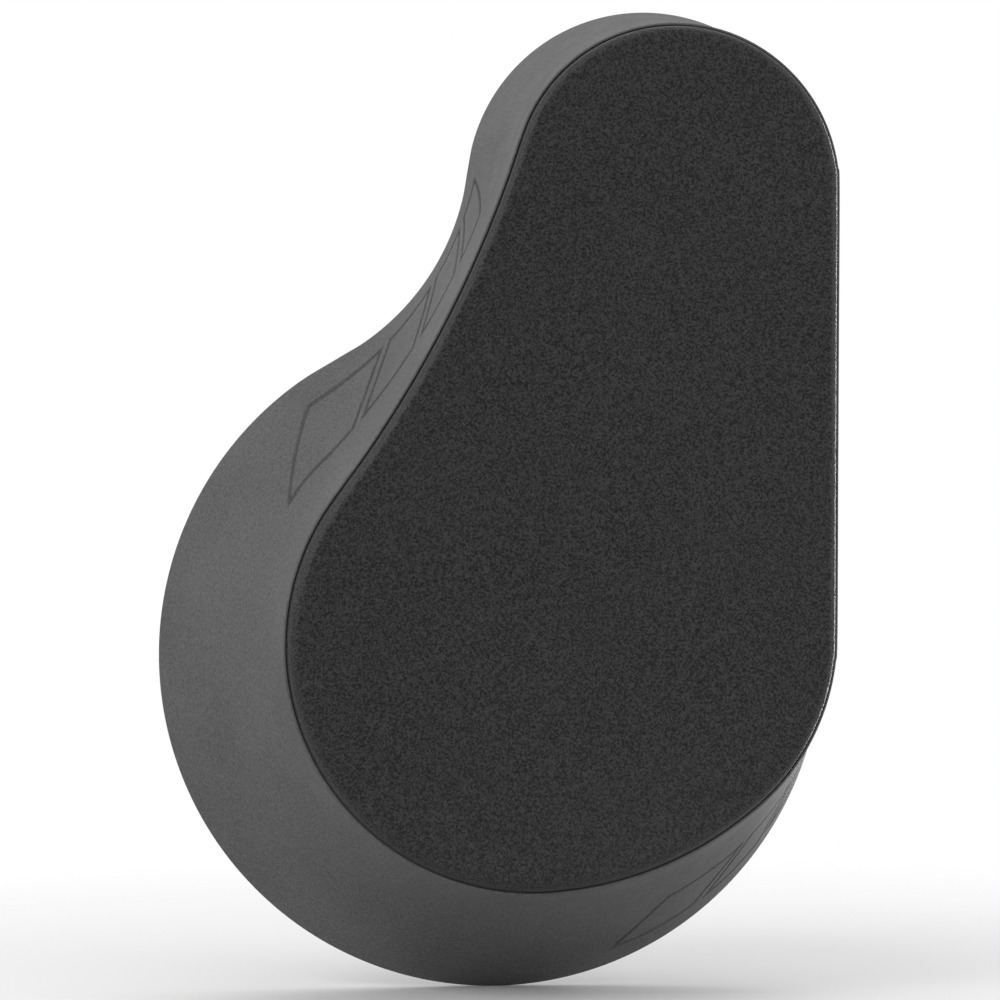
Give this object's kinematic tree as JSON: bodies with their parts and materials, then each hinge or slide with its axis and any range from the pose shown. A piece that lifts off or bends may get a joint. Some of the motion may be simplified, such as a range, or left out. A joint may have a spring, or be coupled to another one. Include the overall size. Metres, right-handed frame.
{
  "type": "kick paddle",
  "caption": "Moulded foam kick paddle with a flared pear-shaped body, a flat strike face, a hand grip over a finger well and hook-and-loop forearm straps.",
  "frame": {"origin": "middle of the hand grip, on the grip bar's axis, which lies 14 mm behind the plane of the back rim", "axes": "+Z from the hand along the forearm and the straight side; -Y out of the strike face; +X towards the straight side, along the grip bar"},
  "size_m": [0.2596, 0.145, 0.3802],
  "materials": {
    "face_skin": "pebble-grained polyurethane skin, satin",
    "body_skin": "fine matte polyurethane skin",
    "foam": "closed-cell foam",
    "soft_foam": "soft open-cell foam",
    "board": "birch plywood",
    "back_fabric": "laminated woven fabric",
    "liner_plastic": "moulded, fine texture",
    "bracket_plastic": "moulded glass-filled nylon",
    "grip_rubber": "soft matte rubber",
    "tab_rubber": "moulded soft rubber",
    "cushion_fabric": "spacer mesh over foam",
    "webbing": "woven polyester webbing",
    "fastener_tape": "hook and loop tape",
    "steel": "nickel-plated"
  },
  "bodies": {
    "paddle": {"face_panel": "face_skin", "body_shell": "body_skin", "back_cover": "back_fabric", "rear_foam": "foam", "backing_board": "board", "core_foam": "soft_foam", "impact_foam": "foam", "hand_well_liner": "liner_plastic", "forearm_cushion": "cushion_fabric", "grip_bar": "steel", "grip_sleeve": "grip_rubber", "grip_bracket_left": "bracket_plastic", "grip_bracket_right": "bracket_plastic", "grip_screw_1": "steel", "grip_screw_2": "steel", "grip_screw_3": "steel", "grip_screw_4": "steel", "grip_tee_nut_1": "steel", "grip_tee_nut_2": "steel", "grip_tee_nut_3": "steel", "grip_tee_nut_4": "steel", "lower_wire_loop_left": "steel", "lower_wire_loop_right": "steel", "lower_strap_screw_1": "steel", "lower_strap_screw_2": "steel", "lower_strap_screw_3": "steel", "lower_strap_screw_4": "steel", "lower_strap_tee_nut_1": "steel", "lower_strap_tee_nut_2": "steel", "lower_strap_tee_nut_3": "steel", "lower_strap_tee_nut_4": "steel", "upper_wire_loop_left": "steel", "upper_wire_loop_right": "steel", "upper_strap_screw_1": "steel", "upper_strap_screw_2": "steel", "upper_strap_screw_3": "steel", "upper_strap_screw_4": "steel", "upper_strap_tee_nut_1": "steel", "upper_strap_tee_nut_2": "steel", "upper_strap_tee_nut_3": "steel", "upper_strap_tee_nut_4": "steel"},
    "lower_long_half": {"lower_long_strap": "webbing", "lower_hook_tape": "fastener_tape", "lower_pull_tab": "tab_rubber"},
    "lower_short_half": {"lower_short_strap": "webbing", "lower_loop_tape": "fastener_tape"},
    "upper_long_half": {"upper_long_strap": "webbing", "upper_hook_tape": "fastener_tape", "upper_pull_tab": "tab_rubber"},
    "upper_short_half": {"upper_short_strap": "webbing", "upper_loop_tape": "fastener_tape"}
  },
  "joints": [
    {"name": "lower_long_swing", "type": "hinge", "parent": "paddle", "child": "lower_long_half", "pos_m": [0.046, -0.007, 0.08], "axis": [0, 0, -1], "range_deg": [0, 110]},
    {"name": "lower_short_swing", "type": "hinge", "parent": "paddle", "child": "lower_short_half", "pos_m": [-0.046, -0.007, 0.08], "axis": [0, 0, 1], "range_deg": [0, 44]},
    {"name": "upper_long_swing", "type": "hinge", "parent": "paddle", "child": "upper_long_half", "pos_m": [0.054, -0.007, 0.148], "axis": [0, 0, -1], "range_deg": [0, 110]},
    {"name": "upper_short_swing", "type": "hinge", "parent": "paddle", "child": "upper_short_half", "pos_m": [-0.036, -0.007, 0.148], "axis": [0, 0, 1], "range_deg": [0, 44]}
  ],
  "couplings": [
    {"joint": "lower_short_swing", "follows": "lower_long_swing", "ratio": 0.4},
    {"joint": "upper_short_swing", "follows": "upper_long_swing", "ratio": 0.4}
  ]
}
